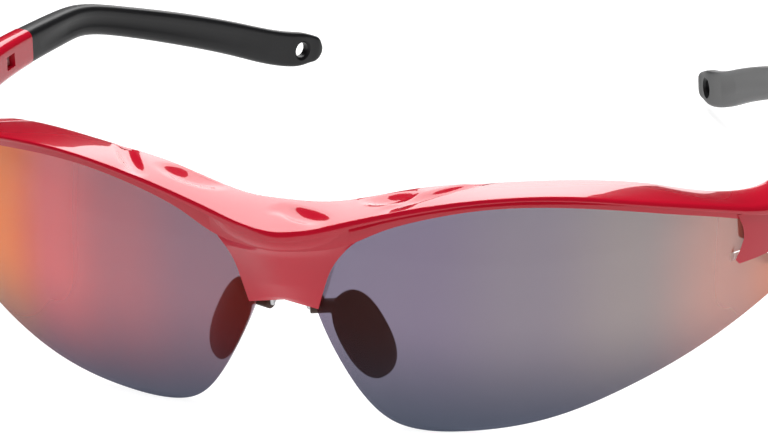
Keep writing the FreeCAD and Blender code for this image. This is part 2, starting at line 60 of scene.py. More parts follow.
# %% Make a mesh, a skin and a boolean
def make_mesh(name, points, faces, smooth=35.0):
    data = bpy.data.meshes.new(name)
    places = [tuple(p) for p in np.asarray(points, float) * MM]
    data.from_pydata(places, [], [tuple(map(int, f)) for f in faces])
    piece = bpy.data.objects.new(name, data)
    bpy.context.scene.collection.objects.link(piece)
    tidy_skin(piece, smooth)
    return piece


def tidy_skin(piece, smooth=35.0):
    """Merges doubles, turns every face outwards and shades smooth up to an angle."""
    skin = bmesh.new()
    skin.from_mesh(piece.data)
    bmesh.ops.remove_doubles(skin, verts=skin.verts, dist=1e-6)
    bmesh.ops.recalc_face_normals(skin, faces=skin.faces)
    skin.to_mesh(piece.data)
    skin.free()
    piece.data.polygons.foreach_set("use_smooth", [True] * len(piece.data.polygons))
    piece.data.set_sharp_from_angle(angle=math.radians(smooth))


def ring_skin(rings):
    """Points and faces of a closed skin through rings of equal length, with a fan over each end."""
    count, around = len(rings), len(rings[0])
    points = np.concatenate([np.asarray(r, float) for r in rings])
    faces = [(i * around + j, i * around + (j + 1) % around,
              (i + 1) * around + (j + 1) % around, (i + 1) * around + j)
             for i in range(count - 1) for j in range(around)]
    ends = np.array([np.mean(rings[0], 0), np.mean(rings[-1], 0)])
    low, high = len(points), len(points) + 1
    faces += [(low, (j + 1) % around, j) for j in range(around)]
    last = (count - 1) * around
    faces += [(high, last + j, last + (j + 1) % around) for j in range(around)]
    return np.concatenate([points, ends]), faces


def boolean(piece, tools, operation):
    """Joins or cuts a piece with each tool in turn, and removes the tools."""
    for tool in tools:
        cut = piece.modifiers.new("cut", "BOOLEAN")
        cut.operation, cut.object, cut.solver = operation, tool, "MANIFOLD"
        data = bpy.data.meshes.new_from_object(piece.evaluated_get(bpy.context.evaluated_depsgraph_get()))
        piece.modifiers.clear()
        piece.data = data
        bpy.data.objects.remove(tool)
    return piece


def block(name, low, high):
    corners = [(x, y, z) for x in (low[0], high[0]) for y in (low[1], high[1]) for z in (low[2], high[2])]
    return make_mesh(name, corners, [(0, 1, 3, 2), (4, 6, 7, 5), (0, 4, 5, 1),
                                     (2, 3, 7, 6), (0, 2, 6, 4), (1, 5, 7, 3)])


def pipe(name, start, end, radius, around=40):
    start, end = Vector(start), Vector(end)
    turn = (end - start).to_track_quat("Z", "Y").to_matrix()
    circle = [turn @ Vector((radius * math.cos(a), radius * math.sin(a), 0))
              for a in np.linspace(0, 2 * math.pi, around, endpoint=False)]
    return make_mesh(name, *ring_skin([[start + c for c in circle], [end + c for c in circle]]))


def cone(name, start, end, radius, mouth, around):
    start, end = Vector(start), Vector(end)
    turn = (end - start).to_track_quat("Z", "Y").to_matrix()
    circle = [turn @ Vector((math.cos(a), math.sin(a), 0))
              for a in np.linspace(0, 2 * math.pi, around, endpoint=False)]
    return make_mesh(name, *ring_skin([[start + c * radius for c in circle], [end + c * mouth for c in circle]]))


def mirror_points(points):
    return np.asarray(points, float) * (-1, 1, 1)


# %% [markdown]
# ## The curves of the front
# The brow follows the lens sphere round the face. At each distance along it, a table says how far the edge, the
# ridge and the rim stand in front of that sphere and how high they are. A natural cubic spline joins the rows.

# %% Tables of the brow and the lens sphere
LENS_RADIUS, LENS_X, LENS_Z, LENS_THICKNESS = 59.64, 16.713, 20.3, 1.8
CORNER_RADIUS, CORNER = 20.0, math.radians(58.0)
screw_low, screw_high = (np.array(corner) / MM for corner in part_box("hinge_screw_left"))
HINGE = (screw_low + screw_high) / 2            # the pin's middle, which places everything else
DRAWN_HINGE_Y, DRAWN_HINGE_Z = 41.459, 29.8     # where the tables below have that middle
SHIFT = np.array([0.0, HINGE[1] - DRAWN_HINGE_Y, HINGE[2] - DRAWN_HINGE_Z])
STATIONS = (0, 5, 10, 15, 20, 30, 41, 52, 58, 66, 76, 87)
EDGE_Z = (32.5, 32.8, 34.1, 35.6, 36.9, 38.7, 38.7, 36.8, 35.3, 33.0, 30.0, 28.8)
EDGE_OUT = (8.3, 5.9, 4.0, 3.0, 2.5, 2.3, 2.2, 2.0, 1.85, 1.7, 1.5, 1.5)
BAND = (1.5, 1.4, 1.2, 1.0, 0.9, 0.7, 0.7, 0.8, 0.95, 1.1, 1.4, 1.8)
RIDGE_Z = (35.5, 35.6, 35.9, 36.8, 37.8, 38.4, 38.3, 37.2, 36.0, 33.8, 32.4, 33.4)
RIDGE_OUT = (0.5, -0.8, -3.0, -4.4, -5.0, -6.0, -6.5, -6.6, -6.5, -6.0, -3.9, -2.4)
LIP_Z = (30.6, 30.6, 31.4, 33.6, 35.3, 37.3, 37.3, 35.6, 34.2, 32.0, 28.8, 27.5)
LIP_EXTRA = (6.2, 3.9, 2.0, 0.8, 0.2, 0, 0, 0, 0, 0, 0, 0)
BACK_STEP = (1.9, 1.8, 1.2, 1.0, 0.9, 0.9, 0.9, 0.9, 0.9, 0.9, 1.1, 1.4)
LIP_OUT, FOOT_DROP = 0.8, 0.3                   # the rim in front of the lens, and how far its back hangs below it
BACK_WALL, BACK_DROP, BACK_DEPTH = 1.9, 0.9, 4.5
CROWN_SHARE, CROWN_RISE = 0.55, 0.25            # how full the top is between crease and ridge


def spline(knots, values, at, start=None):
    """Cubic spline through a table, with a start slope or free ends, read at many places at once."""
    knots, values = np.asarray(knots, float), np.asarray(values, float)
    at = np.atleast_1d(np.asarray(at, float))
    n = len(knots)
    step, slope = np.diff(knots), np.diff(values) / np.diff(knots)
    matrix, right = np.eye(n), np.zeros(n)
    for i in range(1, n - 1):
        matrix[i, i - 1:i + 2] = step[i - 1], 2 * (step[i - 1] + step[i]), step[i]
        right[i] = 6 * (slope[i] - slope[i - 1])
    if start is not None:
        matrix[0, :2] = 2 * step[0], step[0]
        right[0] = 6 * (slope[0] - start)
    bend = np.linalg.solve(matrix, right)
    i = np.clip(np.searchsorted(knots, at, "right") - 1, 0, n - 2)
    b = (at - knots[i]) / step[i]
    a = 1 - b
    curve = ((a ** 3 - a) * bend[i] + (b ** 3 - b) * bend[i + 1]) * step[i] ** 2 / 6
    return a * values[i] + b * values[i + 1] + curve


def sphere_reach(z):
    return np.sqrt(LENS_RADIUS ** 2 - (z - LENS_Z) ** 2)


BROW_REACH = float(sphere_reach(33.0))
MIDDLE_ANGLE = -math.asin(LENS_X / BROW_REACH)
FRONT_RUN = BROW_REACH * (CORNER - MIDDLE_ANGLE)
BROW_END = FRONT_RUN + CORNER_RADIUS * (math.pi / 2 - CORNER)
CROSSING = math.sin(MIDDLE_ANGLE)
TURN_IN = 22.0


def brow_point(s, out, z):
    """Place of a point of the brow: distance along, distance in front of the lens sphere, height."""
    side, s = (-1 if s < 0 else 1), abs(s)
    if s <= FRONT_RUN:
        angle = MIDDLE_ANGLE + s / BROW_REACH
        x, y = LENS_X + BROW_REACH * math.sin(angle), LENS_RADIUS - BROW_REACH * math.cos(angle)
    else:
        angle = CORNER + (s - FRONT_RUN) / CORNER_RADIUS
        x = LENS_X + (BROW_REACH - CORNER_RADIUS) * math.sin(CORNER) + CORNER_RADIUS * math.sin(angle)
        y = LENS_RADIUS - (BROW_REACH - CORNER_RADIUS) * math.cos(CORNER) - CORNER_RADIUS * math.cos(angle)
    if s < TURN_IN:
        angle = (MIDDLE_ANGLE + TURN_IN / BROW_REACH) * s / TURN_IN
    reach = out + sphere_reach(z) - BROW_REACH
    return np.array([side * (x + math.sin(angle) * reach), y - math.cos(angle) * reach, z]) + SHIFT


def lens_y(x, z, out=0.0):
    return LENS_RADIUS - np.sqrt((LENS_RADIUS + out) ** 2 - (x - LENS_X) ** 2 - (z - LENS_Z) ** 2)


print("brow runs", round(2 * BROW_END, 1), "mm round the face")

# %% [markdown]
# ## The brow
# The brow is one moulding: a narrow dark band faces forward, a crisp crease stands over it, and a broad crowned top
# falls away to the back. Rings of points across the brow, one every half millimetre, give that flow without facets.
# Shallow dents let into the top break up the reflection of the lamp. They are a guess: whether the real top has
# them isn't known, and the CAD model has none.

# %% Brow section and skin
# Shallow dents in the crowned top: distance along, distance out, half length, half width, depth, lean of its line
SCOOPS = ((-15.5, -2.2, 6.5, 2.7, 0.8, 0.0), (3.0, 3.4, 5.8, 2.1, 0.7, 0.0), (16.0, -1.8, 5.2, 2.3, 0.8, 0.0),
          (-25.5, -1.8, 6.5, 3.0, 0.85, 0.9), (23.0, -2.0, 10.0, 1.9, 0.75, -0.5))


def soft_corner(before, corner, after, radius, count=4):
    """A few points that round a corner of the section."""
    before, corner, after = map(np.array, (before, corner, after))
    one, two = before - corner, after - corner
    one, two = one / np.linalg.norm(one), two / np.linalg.norm(two)
    t = np.linspace(0, 1, count)[:, None]
    start, end = corner + one * radius, corner + two * radius
    return (1 - t) ** 2 * start + 2 * t * (1 - t) * corner + t ** 2 * end


def brow_ring(s):
    at = abs(s)

    def out(values):
        return spline(STATIONS, values, at, CROSSING)[0]

    def height(values):
        return spline(STATIONS, values, at, 0.0)[0]

    edge, band = (out(EDGE_OUT), height(EDGE_Z)), height(BAND)
    ridge = (out(RIDGE_OUT), height(RIDGE_Z))
    lip = (LIP_OUT + max(out(LIP_EXTRA), 0.0), height(LIP_Z))
    crease = (edge[0] + 0.1, edge[1] + band)
    step = height(BACK_STEP)
    back = (ridge[0] - step, ridge[1] - BACK_DROP)
    foot = (min(-LENS_THICKNESS - BACK_WALL, lip[0] - BACK_DEPTH), lip[1] - FOOT_DROP)
    recess = (lip[0] + 0.1, edge[1] - 0.1)
    t = np.linspace(0, 1, 28)[:, None]
    rise = ridge[1] - crease[1]
    middle = np.array([(crease[0] + ridge[0]) / 2, crease[1] + CROWN_SHARE * rise + CROWN_RISE])
    control = 2 * middle - 0.5 * (np.array(crease) + np.array(ridge))
    crown = (1 - t) ** 2 * np.array(crease) + 2 * t * (1 - t) * control + t ** 2 * np.array(ridge)
    for s0, out0, length, width, depth, lean in SCOOPS:
        share = ((s - s0) / length) ** 2 + ((crown[:, 0] - out0 - lean * (s - s0)) / width) ** 2
        crown[:, 1] -= depth * np.clip(1 - share, 0, None) ** 2
    round_off = float(np.interp(at, (25, 55, 70), (0.16, 0.45, 0.8)))
    parts = [soft_corner(recess, edge, crease, 0.12),
             soft_corner(edge, crease, crown[5], round_off, 6), crown[5:-1],
             soft_corner(crown[-3], ridge, back, 0.5, 5), soft_corner(ridge, back, foot, 0.5, 5),
             soft_corner(back, foot, lip, 0.3), soft_corner(foot, lip, recess, 0.1, 3), [recess]]
    return [brow_point(s, o, z) for o, z in np.concatenate([np.atleast_2d(p) for p in parts])]


RING_STEP, EVEN_UNTIL = 0.5, 76


def make_brow():
    half = np.concatenate([np.arange(RING_STEP / 2, EVEN_UNTIL, RING_STEP), np.linspace(EVEN_UNTIL, BROW_END, 24)])
    rings = [brow_ring(-s) for s in half[::-1]] + [brow_ring(s) for s in half]
    return make_mesh("front_moulding", *ring_skin(rings), smooth=40)


brow = make_brow()
print("brow points:", len(brow.data.vertices))

# %% [markdown]
# ## Bridge, end pieces and hooks
# Below the brow the moulding runs down between the lenses to an arched foot, and at each end it closes into a deep
# block with a hooked finger that reaches over the lens. Each is its own closed skin, and a boolean joins them.

# %% Bridge
BRIDGE_FOOT, BRIDGE_TOP = 20.0, 32.6
BRIDGE_PROUD, BRIDGE_BACK = 0.8, 2.6            # in front of the lens and behind it
BAND_TUCK = 0.35                                # how far the bridge's top stays behind the band's edge
# height, half width, place of the middle front to back
BRIDGE_ROWS = ((20.0, 5.3, 0.2), (23.5, 6.3, -1.0), (27.0, 7.6, -2.1), (30.2, 10.0, -3.1),
               (32.7, 12.9, brow_point(0.0, EDGE_OUT[0] - BAND_TUCK, 32.7)[1] - SHIFT[1]))


def make_bridge():
    heights = [row[0] for row in BRIDGE_ROWS]
    rings = []
    for z in np.linspace(BRIDGE_FOOT, BRIDGE_TOP, 42):
        half, middle = (spline(heights, [row[i] for row in BRIDGE_ROWS], z)[0] for i in (1, 2))
        across = np.linspace(-1, 1, 33)
        follow = np.clip((z - 29.0) / 3.6, 0, 1) ** 2
        edge = np.array([spline(STATIONS, EDGE_Z, half * abs(a), 0.0)[0] for a in across])
        heights_here = z + (edge + 0.1 - BRIDGE_TOP) * follow
        side = lens_y(half, heights_here[0]) - BRIDGE_PROUD
        between = 0.35 * side + 0.65 * middle
        depth = spline((-1, -0.5, 0, 0.5, 1), (side, between, middle, between, side), across)
        band_out = [spline(STATIONS, EDGE_OUT, half * abs(a), CROSSING)[0] for a in across]
        under_band = [brow_point(half * a, o - BAND_TUCK, h)[1]
                      for a, o, h in zip(across, band_out, heights_here)] - SHIFT[1]
        rise = follow * np.clip((1 - abs(across)) / 0.35, 0, 1)
        depth = np.minimum(depth, depth + (under_band - depth) * rise)
        front = [np.array([half * a, d, h]) for a, d, h in zip(across, depth, heights_here)]
        back = side + BRIDGE_PROUD + LENS_THICKNESS + BRIDGE_BACK
        rear = [np.array([x, y, z]) for x, y in
                ((half, side + 0.3), (half - 0.2, back - 0.5), (half - 0.8, back),
                 (0.8 - half, back), (0.2 - half, back - 0.5), (-half, side + 0.3))]
        foot = 1.2 * (1 - (np.clip([abs(p[0]) / 5.3 for p in front + rear], 0, 1)) ** 2)
        lift = np.clip((24.0 - z) / 4.0, 0, 1)
        rings.append([p + SHIFT + (0, 0, f * lift) for p, f in zip(front + rear, foot)])
    return make_mesh("bridge", *ring_skin(rings), smooth=40)


brow = boolean(brow, [make_bridge()], "UNION")
print("with the bridge:", len(brow.data.vertices))

# %% End pieces, fingers and hinge lugs
HOOK = ((62.6, 31.9), (63.4, 29.9), (63.6, 28.2), (63.2, 26.6), (62.7, 25.3), (63.2, 24.5), (65.4, 24.5),
        (67.6, 24.7), (67.6, 31.0))
END_LOW = ((72.8, 24.6), (76, 24.9), (80, 25.4), (87, 26.2))
KNUCKLE, BORE, SWING_GAP = 2.1, 0.75, 0.35      # two radii, and the room round the knuckle
LUG_INNER, LUG_OUTER = 1.3, 3.3                 # the lugs' faces above and below the pin's middle


def make_end():
    rings = []
    for s in np.linspace(74.0, BROW_END, 40):
        low = spline([r[0] for r in END_LOW], [r[1] for r in END_LOW], s)[0]
        high = spline(STATIONS, EDGE_Z, s)[0] + 0.3
        back = spline(STATIONS, RIDGE_OUT, s)[0] - spline(STATIONS, BACK_STEP, s)[0]
        corners = [(0.9, high), (back, high), (back, low), (0.8, low + 0.3)]
        ring = []
        for i in range(4):
            ring += list(soft_corner(corners[i - 1], corners[i], corners[(i + 1) % 4], 0.35))
        rings.append([brow_point(s, o, z) for o, z in ring])
    return rings


def sphere_patch(outline, near, far, rows=6):
    """A closed slab between two spheres about the lens centre, over an outline across and up."""
    middle = np.mean(outline, 0)
    rings = []
    for out, shares in ((near, np.linspace(0.02, 1, rows)), (far, np.linspace(1, 0.02, rows))):
        for share in shares:
            flat = middle + (np.array(outline) - middle) * share
            rings.append([np.array([x, lens_y(x, z, out), z]) + SHIFT for x, z in flat])
    return rings


def both_sides(name, rings):
    yield make_mesh(name, *ring_skin(rings))
    yield make_mesh(name, *ring_skin([mirror_points(r) for r in rings]))


hook_line = np.array(HOOK + HOOK[:1])
walk = np.linspace(0, 1, 49)[:-1]
run = np.concatenate([[0], np.cumsum(np.linalg.norm(np.diff(hook_line, axis=0), axis=1))])
hook_edge = np.stack([np.interp(walk * run[-1], run, hook_line[:, k]) for k in (0, 1)], 1)
brow = boolean(brow, list(both_sides("end_block", make_end())), "UNION")
brow = boolean(brow, list(both_sides("hook_finger", sphere_patch(hook_edge, 1.0, -0.3))), "UNION")
for side in (1, -1):
    behind = sorted((side * 47, side * 75))
    room = block("cut", (behind[0], HINGE[1] - KNUCKLE - SWING_GAP, -10), (behind[1], 20, 80))
    brow = boolean(brow, [room], "DIFFERENCE")
    for low, high in ((HINGE[2] - LUG_OUTER, HINGE[2] - LUG_INNER), (HINGE[2] + LUG_INNER, HINGE[2] + LUG_OUTER)):
        x = side * HINGE[0]
        lug = pipe("lug", (x, HINGE[1], low), (x, HINGE[1], high), KNUCKLE)
        root = block("root", (x - KNUCKLE, HINGE[1] - KNUCKLE - 0.85, low), (x + KNUCKLE, HINGE[1], high))
        bore = pipe("bore", (x, HINGE[1], low - 1), (x, HINGE[1], high + 1), BORE)
        lug = boolean(boolean(lug, [root], "UNION"), [bore], "DIFFERENCE")
        brow = boolean(brow, [lug], "UNION")
tidy_skin(brow, 40)
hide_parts("frame_front")
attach(brow, "frame")
print("front points:", len(brow.data.vertices))

# %% [markdown]
# ## Lenses
# Each lens is a slab of a sphere, cut to its outline. Rings that shrink from the outline towards the middle make
# both faces, and a narrow edge joins them, so that the coating can shade softly over the whole sphere.

# %% Lens outline and slab
RIM = ((5.3, 20.0), (6.2, 23.4), (7.5, 27.0), (10, 30.2), (15, 33.1), (20, 35.0), (25, 36.3), (30, 37.0),
       (35, 37.2), (40, 37.0), (45, 36.3), (50, 35.3), (55, 33.7), (60, 31.7), (63.4, 29.9))
LOWER_EDGE = ((70.0, 18.9), (66.9, 17.0), (63, 14.6), (56, 10.7), (47.5, 6.6), (42, 4.2), (34.7, 1.9), (26, 0.4),
              (20, 0.1), (15.6, 1.2), (11.8, 4.9), (8.6, 10.4), (6.0, 16.0), (4.6, 19.6))


def through(points, count):
    """Evenly spaced places on the smooth curve through points."""
    points = np.array(points, float)
    chord = np.concatenate([[0], np.cumsum(np.linalg.norm(np.diff(points, axis=0), axis=1))])
    fine = np.linspace(0, chord[-1], 2000)
    dense = np.stack([spline(chord, points[:, k], fine) for k in (0, 1)], 1)
    run = np.concatenate([[0], np.cumsum(np.linalg.norm(np.diff(dense, axis=0), axis=1))])
    return np.stack([np.interp(np.linspace(0, run[-1], count), run, dense[:, k]) for k in (0, 1)], 1)


def moved_out(points, distance):
    ahead, behind = np.roll(points, -1, 0), np.roll(points, 1, 0)
    ahead[-1], behind[0] = points[-1], points[0]
    along = ahead - behind
    along /= np.linalg.norm(along, axis=1)[:, None]
    return points + np.stack([-along[:, 1], along[:, 0]], 1) * distance


def lens_outline():
    top = moved_out(through(RIM, 150), 1.1)
    low = through(LOWER_EDGE, 200)
    side = np.array([(64.7, top[-1][1] - 1.0), (64.7, 27.0), (64.7, 23.9), (66.4, 22.3), (68.2, 20.6)])
    return np.concatenate([top, side, low])


EDGE_BAND = 0.25                                # how far in from each face the straight edge starts
SLOT_X, SLOT_Z = (61.9, 63.8), (24.6, 25.9)     # the notch for the nub of the hook


def make_lens(name, side):
    outline = lens_outline()
    middle = np.array([34.0, 18.0])
    shares = np.concatenate([np.linspace(0.03, 0.96, 26), [0.985, 0.997]])
    steps = [(share, 0.0) for share in shares] + [(1.0, EDGE_BAND), (1.0, LENS_THICKNESS - EDGE_BAND)]
    steps += [(share, LENS_THICKNESS) for share in shares[::-1]]
    rings = [[(x, lens_y(x, z, -depth), z) for x, z in middle + (outline - middle) * share]
             for share, depth in steps]
    rings = [np.array(r) + SHIFT for r in rings]
    lens = make_mesh(name, *ring_skin([r * (side, 1, 1) for r in rings]), smooth=50)
    slot = sorted(side * x for x in SLOT_X)
    return boolean(lens, [block("slot", (slot[0], -60, SLOT_Z[0]), (slot[1], -20, SLOT_Z[1]))], "DIFFERENCE")


lenses = {}
for name, side in SIDES.items():
    lens = make_lens("lens_coated_" + name, side)
    tidy_skin(lens, 50)
    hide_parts("lens_" + name)
    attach(lens, "frame")
    lenses[name] = lens
print("lens points:", len(lens.data.vertices))

# %% [markdown]
# ## Arms and rubber ends
# An arm is a rounded oblong that sweeps back, bends down behind the ear and ends in a paddle with a hole for a cord.
# The stiff red part is cut away over the hinge and pierced by a small window; the rubber end has a long thumb scoop.

# %% Arm sections
# across, distance behind the hinge, height of the middle, height and thickness of the section
ARM_LINE = ((68.3, -2.4, 29.8, 7.6, 5.2), (68.7, 5.0, 29.8, 7.2, 4.8), (67.9, 14.0, 30.0, 6.7, 4.4),
            (66.3, 24.0, 29.7, 6.2, 4.1), (64.9, 33.0, 29.0, 5.9, 3.9), (63.8, 39.0, 28.2, 5.6, 3.7),
            (60.4, 49.0, 24.7, 5.5, 3.5), (54.6, 62.2, 18.8, 6.0, 3.5), (47.5, 77.0, 11.4, 6.5, 3.3),
            (41.5, 88.0, 5.9, 6.9, 2.6), (39.9, 90.7, 5.0, 6.6, 2.4), (38.6, 93.0, 4.3, 5.5, 2.2),
            (37.7, 94.5, 3.8, 3.6, 1.9), (37.4, 95.0, 3.7, 1.8, 1.5))
JOIN = 21.5                                     # where red plastic meets rubber, behind the hinge
KNUCKLE_HALF, RELIEF_SKIN = 1.2, 1.2
CORD_BACK, CORD_RADIUS, FLARE_RADIUS, RUBBER_INSET = 90.4, 1.5, 2.5, 0.1


def arm_at(back):
    knots = [row[1] for row in ARM_LINE]
    x, z, height, thick = (spline(knots, [row[i] for row in ARM_LINE], back)[0] for i in (0, 2, 3, 4))
    return np.array([x, back + HINGE[1], z - DRAWN_HINGE_Z + HINGE[2]]), height, thick


def arm_frame(back):
    along = arm_at(back + 0.2)[0] - arm_at(back - 0.2)[0]
    along /= np.linalg.norm(along)
    side = np.cross(along, (0, 0, 1))
    side /= np.linalg.norm(side)
    return arm_at(back)[0], side, np.cross(side, along), along


def arm_ring(back, grow=0.0, scoop=0.0, around=6, round_by=0.35):
    _, height, thick = arm_at(back)
    here, side, up, _ = arm_frame(back)
    height, thick = height + 2 * grow, thick + 2 * grow
    corner = round_by * thick
    ring = []
    for sx, sz in ((1, 1), (-1, 1), (-1, -1), (1, -1)):
        centre = here + side * (sx * (thick / 2 - corner)) + up * (sz * (height / 2 - corner))
        first, last = (side * sx, up * sz) if sx * sz > 0 else (up * sz, side * sx)
        for angle in np.linspace(0, math.pi / 2, around):
            ring.append(centre + (first * math.cos(angle) + last * math.sin(angle)) * corner)
        if sx * sz < 0:
            start = ring[-1]
            for share in (0.2, 0.4, 0.6, 0.8):
                end_centre = here + side * (sx * (thick / 2 - corner)) - up * (sz * (height / 2 - corner))
                end = end_centre + side * sx * corner
                dent = scoop * math.sin(math.pi * share) ** 1.5
                ring.append(start + (end - start) * share - side * sx * dent)
    return ring


def scoop_depth(back):
    """How deep the thumb scoop is at a distance behind the hinge."""
    return 0.45 * float(np.interp(back, (24, 34, 60, 76, 83), (0, 1, 1, 0.8, 0)))


def arm_skin(name, backs, side, grow=0.0, scoops=False):
    rings = [arm_ring(b, grow, scoop_depth(b) if scoops else 0.0) for b in backs]
    return make_mesh(name, *ring_skin([np.array(r) * (side, 1, 1) for r in rings]), smooth=40)


def make_arm(name, side):
    front_end = -KNUCKLE - SWING_GAP + 0.15
    arm = arm_skin(name, np.linspace(front_end, JOIN, 60), side)
    x = HINGE[0] * side
    outer = (arm_at(0)[0][0] + arm_at(0)[2] / 2 - RELIEF_SKIN) * side
    swing = KNUCKLE + SWING_GAP
    low, high = HINGE[2] - KNUCKLE_HALF, HINGE[2] + KNUCKLE_HALF
    relief = sorted((x - side * 20, outer))
    room = block("relief", (relief[0], HINGE[1] - 20, 0), (relief[1], HINGE[1] + swing, 60))
    arm = boolean(arm, [room], "DIFFERENCE")
    here, out, up, along = (v * (side, 1, 1) for v in arm_frame(JOIN - 7.0))
    corners = [here + along * (a * 1.3) + up * (b * 1.2) - out * d for d in (0.8, 6) for a, b in
               ((-1, -1), (1, -1), (1, 1), (-1, 1))]
    window = make_mesh("window", corners, [(0, 1, 2, 3), (4, 7, 6, 5), (0, 4, 5, 1), (1, 5, 6, 2), (2, 6, 7, 3),
                                           (3, 7, 4, 0)])
    knuckle = pipe("knuckle", (x, HINGE[1], low), (x, HINGE[1], high), KNUCKLE)
    web = sorted((x - side * (KNUCKLE - 0.4), x + side * KNUCKLE))
    web = block("web", (web[0], HINGE[1], low), (web[1], HINGE[1] + swing + 1, high))
    knuckle = boolean(knuckle, [web], "UNION")
    arm = boolean(boolean(arm, [window], "DIFFERENCE"), [knuckle], "UNION")
    return boolean(arm, [pipe("bore", (x, HINGE[1], low - 1), (x, HINGE[1], high + 1), BORE)], "DIFFERENCE")


def make_tip(name, side):
    backs = np.concatenate([np.linspace(JOIN + 0.02, 92, 150), np.linspace(92, 95, 16)[1:]])
    tip = arm_skin(name, backs, side, -RUBBER_INSET, scoops=True)
    here, out = (v * (side, 1, 1) for v in arm_frame(CORD_BACK)[:2])
    half = arm_at(CORD_BACK)[2] / 2 - RUBBER_INSET
    cuts = [pipe("cord_hole", here - out * 8, here + out * 8, CORD_RADIUS, 64)]
    for way in (-1, 1):
        inside, mouth = here + out * way * (half - 0.5), here + out * way * (half + 0.5)
        cuts.append(cone("flare", inside, mouth, CORD_RADIUS, FLARE_RADIUS, 64))
    return boolean(tip, cuts, "DIFFERENCE")


arms, tips = {}, {}
for name, side in SIDES.items():
    arms[name], tips[name] = make_arm("arm_" + name, side), make_tip("rubber_end_" + name, side)
    for piece, node in ((arms[name], "temple_"), (tips[name], "temple_tip_")):
        tidy_skin(piece, 40)
        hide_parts(node + name)
        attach(piece, name + "_temple")
print("arm points:", len(arms["left"].data.vertices), "rubber end points:", len(tips["left"].data.vertices))

# %% [markdown]
# ## Nose pads
# A pad is soft rubber moulded over a bent wire: a flat oval with a short stalk that goes up behind the bridge. The
# two shapes are joined, remeshed finely and smoothed, which rounds the corner between them as a mould does.

# %% Pad
PAD_CENTRE, PAD_SIZE = np.array([10.45, 6.2, 13.6]) + SHIFT, (7.8, 2.4, 15.0)
MOUTH = np.array([2.9, 3.7, 18.5]) + SHIFT


def pad_axes():
    splay, lean, turn = math.radians(25), math.radians(6), math.radians(48)
    length = np.array([-math.sin(splay), -math.sin(lean), math.cos(splay)])
    length /= np.linalg.norm(length)
    thickness = np.cross(length, (math.sin(turn), math.cos(turn), 0))
    thickness /= np.linalg.norm(thickness)
    return np.cross(thickness, length), thickness, length


def make_pad(name, side):
    width, thickness, length = pad_axes()
    rings = []
    for lift in np.sin(np.linspace(-math.pi / 2, math.pi / 2, 34)[1:-1]):
        reach = (1 - abs(lift) ** 2.4) ** (1 / 2.4)
        ring = []
        for angle in np.linspace(0, 2 * math.pi, 56, endpoint=False):
            a, b = math.cos(angle), math.sin(angle)
            ring.append(PAD_CENTRE + length * lift * PAD_SIZE[2] / 2
                        + (width * a * PAD_SIZE[0] + thickness * b * PAD_SIZE[1]) / 2 * reach)
        rings.append(np.array(ring) * (side, 1, 1))
    pad = make_mesh(name, *ring_skin(rings))
    top = PAD_CENTRE + length * (0.36 * PAD_SIZE[2])
    stalk = pipe("stalk", MOUTH * (side, 1, 1), top * (side, 1, 1), 1.1)
    pad = boolean(pad, [stalk], "UNION")
    remesh = pad.modifiers.new("remesh", "REMESH")
    remesh.mode, remesh.voxel_size = "VOXEL", 0.16 * MM
    smooth = pad.modifiers.new("smooth", "SMOOTH")
    smooth.iterations = 8
    pad.data = bpy.data.meshes.new_from_object(pad.evaluated_get(bpy.context.evaluated_depsgraph_get()))
    pad.modifiers.clear()
    tidy_skin(pad, 60)
    return pad


pads = {}
for name, side in SIDES.items():
    pads[name] = make_pad("soft_pad_" + name, side)
    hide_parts("nose_pad_" + name)
    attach(pads[name], name + "_nose_pad")
print("pad points:", len(pads["left"].data.vertices))

# %% [markdown]
# ## Materials
# The red plastic is a solid colour under a clear gloss, the lens is a smoky tint under a mirror coating that runs
# from violet at the nose to orange at the side, and the rubber is a dark matte skin with a very fine grain. The
# lens colours are set by place on the lens. The orange and yellow towards the side are a painted reflection of a
# big light on top of the coating's own colour. A real coating's colours shift with the angle of view, these don't.

# %% Node helpers
def new_material(name, **settings):
    material = bpy.data.materials.new(name)
    material.use_nodes = True
    tree = material.node_tree
    shader = tree.nodes["Principled BSDF"]
    for socket, value in settings.items():
        shader.inputs[socket.replace("_", " ")].default_value = value
    return material, tree, shader


def add(tree, kind, **settings):
    node = tree.nodes.new(kind)
    for key, value in settings.items():
        setattr(node, key, value)
    return node


def put(piece, material):
    piece.data.materials.clear()
    piece.data.materials.append(material)


# %% A fine grain, shared by plastic and rubber
def grain_group():
    group = bpy.data.node_groups.new("fine_grain", "ShaderNodeTree")
    group.interface.new_socket("Scale", in_out="INPUT", socket_type="NodeSocketFloat").default_value = 2000.0
    group.interface.new_socket("Height", in_out="OUTPUT", socket_type="NodeSocketFloat")
    start, end = add(group, "NodeGroupInput"), add(group, "NodeGroupOutput")
    place, noise = add(group, "ShaderNodeTexCoord"), add(group, "ShaderNodeTexNoise")
    noise.inputs["Detail"].default_value = 3.0
    group.links.new(place.outputs["Object"], noise.inputs["Vector"])
    group.links.new(start.outputs["Scale"], noise.inputs["Scale"])
    group.links.new(noise.outputs["Fac"], end.inputs["Height"])
    return group


grain = grain_group()


def add_grain(tree, shader, scale, strength, distance):
    fine = add(tree, "ShaderNodeGroup", node_tree=grain)
    fine.inputs["Scale"].default_value = scale
    bump = add(tree, "ShaderNodeBump")
    bump.inputs["Strength"].default_value, bump.inputs["Distance"].default_value = strength, distance
    tree.links.new(fine.outputs["Height"], bump.inputs["Height"])
    tree.links.new(bump.outputs["Normal"], shader.inputs["Normal"])


# %% Red plastic
red, *_ = new_material("red_gloss", Base_Color=(0.46, 0.006, 0.022, 1), Roughness=0.25, IOR=1.15,
                       Coat_Weight=1.0, Coat_Roughness=0.015, Coat_IOR=1.45)
for piece in [brow] + list(arms.values()):
    put(piece, red)

